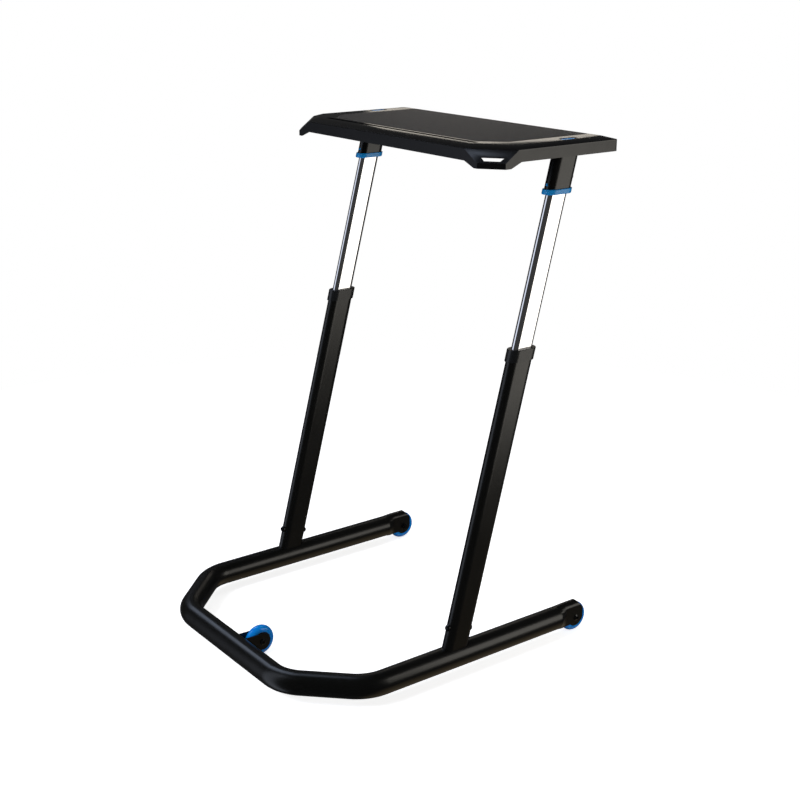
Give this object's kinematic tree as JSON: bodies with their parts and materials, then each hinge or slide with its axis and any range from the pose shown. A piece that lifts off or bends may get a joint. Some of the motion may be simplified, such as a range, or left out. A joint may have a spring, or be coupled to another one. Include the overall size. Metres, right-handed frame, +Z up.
{
  "type": "bike trainer desk",
  "caption": "Height-adjustable desk for an indoor bike trainer: U-shaped tube base on wheels, two leaning telescopic legs, moulded top with rubber mat and tablet groove.",
  "frame": {"origin": "on the floor under the middle of the object's outline", "axes": "+X across the desk to the right of someone looking from the closed end, +Y towards the rider and the open end of the base, +Z up"},
  "size_m": [0.79, 0.841, 1.2246],
  "materials": {
    "powder_coat": "satin black powder coat",
    "chrome": "bright chrome plate",
    "zinc_steel": "zinc-plated steel",
    "black_bolt": "black oxide steel, semi-gloss",
    "black_moulding": "black ABS, satin with a gloss border",
    "black_guide": "black nylon, satin",
    "blue_plastic": "blue moulded plastic, semi-gloss",
    "blue_tyre": "cast blue polyurethane, glossy",
    "black_hub": "black nylon hub",
    "mat_rubber": "textured dark grey rubber",
    "bearing_steel": "ground bearing steel",
    "brake_pad": "hard friction rubber",
    "rod_aluminium": "plain drawn aluminium"
  },
  "bodies": {
    "base": {"base_frame": "powder_coat", "front_fork_plates": "powder_coat", "front_axle_bolt": "black_bolt", "front_axle_nut": "black_bolt", "front_axle_washers": "zinc_steel", "rear_axle_bolt_left": "black_bolt", "rear_axle_nut_left": "black_bolt", "rear_axle_washers_left": "zinc_steel", "lower_leg_left": "powder_coat", "leg_spigot_left": "powder_coat", "leg_bolts_left": "black_bolt", "leg_nuts_left": "zinc_steel", "leg_collar_left": "black_guide", "rear_axle_bolt_right": "black_bolt", "rear_axle_nut_right": "black_bolt", "rear_axle_washers_right": "zinc_steel", "lower_leg_right": "powder_coat", "leg_spigot_right": "powder_coat", "leg_bolts_right": "black_bolt", "leg_nuts_right": "zinc_steel", "leg_collar_right": "black_guide"},
    "desk": {"desktop": "black_moulding", "desk_mat": "mat_rubber", "cross_rail": "powder_coat", "desktop_screws": "zinc_steel", "leg_bracket_left": "powder_coat", "upper_sleeve_left": "powder_coat", "trim_ring_left": "blue_plastic", "sleeve_screw_left": "black_bolt", "inner_leg_left": "chrome", "guide_foot_left": "black_guide", "return_spring_left": "zinc_steel", "leg_bracket_right": "powder_coat", "upper_sleeve_right": "powder_coat", "trim_ring_right": "blue_plastic", "sleeve_screw_right": "black_bolt", "inner_leg_right": "chrome", "guide_foot_right": "black_guide", "return_spring_right": "zinc_steel"},
    "front_wheel": {"front_tyre": "blue_tyre", "front_hub": "black_hub", "front_bearings": "bearing_steel"},
    "rear_left_wheel": {"rear_left_tyre": "blue_tyre", "rear_left_hub": "black_hub", "rear_left_bearings": "bearing_steel"},
    "rear_right_wheel": {"rear_right_tyre": "blue_tyre", "rear_right_hub": "black_hub", "rear_right_bearings": "bearing_steel"},
    "button_left": {"release_button_left": "blue_plastic", "push_rod_left": "rod_aluminium", "brake_wedge_left": "black_guide"},
    "shoe_front_left": {"brake_shoe_front_left": "brake_pad"},
    "shoe_rear_left": {"brake_shoe_rear_left": "brake_pad"},
    "button_right": {"release_button_right": "blue_plastic", "push_rod_right": "rod_aluminium", "brake_wedge_right": "black_guide"},
    "shoe_front_right": {"brake_shoe_front_right": "brake_pad"},
    "shoe_rear_right": {"brake_shoe_rear_right": "brake_pad"}
  },
  "joints": [
    {"name": "desk_height", "type": "slide", "parent": "base", "child": "desk", "axis": [0, 0.2554, 0.9668], "range_m": [-0.35, 0.012]},
    {"name": "front_wheel_spin", "type": "hinge", "parent": "base", "child": "front_wheel", "pos_m": [0, -0.318, 0.0375], "axis": [1, 0, 0], "continuous": true},
    {"name": "rear_left_wheel_spin", "type": "hinge", "parent": "base", "child": "rear_left_wheel", "pos_m": [-0.358, 0.3745, 0.0375], "axis": [1, 0, 0], "continuous": true},
    {"name": "rear_right_wheel_spin", "type": "hinge", "parent": "base", "child": "rear_right_wheel", "pos_m": [0.358, 0.3745, 0.0375], "axis": [1, 0, 0], "continuous": true},
    {"name": "button_left_press", "type": "slide", "parent": "desk", "child": "button_left", "axis": [0, -0.2554, -0.9668], "range_m": [0, 0.008], "stiffness_N_per_m": 800, "springref_m": -0.01, "deforming": ["return_spring_left"]},
    {"name": "shoe_front_left_travel", "type": "slide", "parent": "desk", "child": "shoe_front_left", "axis": [0, 0.9668, -0.2554], "range_m": [0, 0.001]},
    {"name": "shoe_rear_left_travel", "type": "slide", "parent": "desk", "child": "shoe_rear_left", "axis": [0, -0.9668, 0.2554], "range_m": [0, 0.001]},
    {"name": "button_right_press", "type": "slide", "parent": "desk", "child": "button_right", "axis": [0, -0.2554, -0.9668], "range_m": [0, 0.008], "stiffness_N_per_m": 800, "springref_m": -0.01, "deforming": ["return_spring_right"]},
    {"name": "shoe_front_right_travel", "type": "slide", "parent": "desk", "child": "shoe_front_right", "axis": [0, 0.9668, -0.2554], "range_m": [0, 0.001]},
    {"name": "shoe_rear_right_travel", "type": "slide", "parent": "desk", "child": "shoe_rear_right", "axis": [0, -0.9668, 0.2554], "range_m": [0, 0.001]}
  ],
  "couplings": [
    {"joint": "shoe_front_left_travel", "follows": "button_left_press", "ratio": 0.125},
    {"joint": "shoe_rear_left_travel", "follows": "button_left_press", "ratio": 0.125},
    {"joint": "shoe_front_right_travel", "follows": "button_right_press", "ratio": 0.125},
    {"joint": "shoe_rear_right_travel", "follows": "button_right_press", "ratio": 0.125}
  ]
}
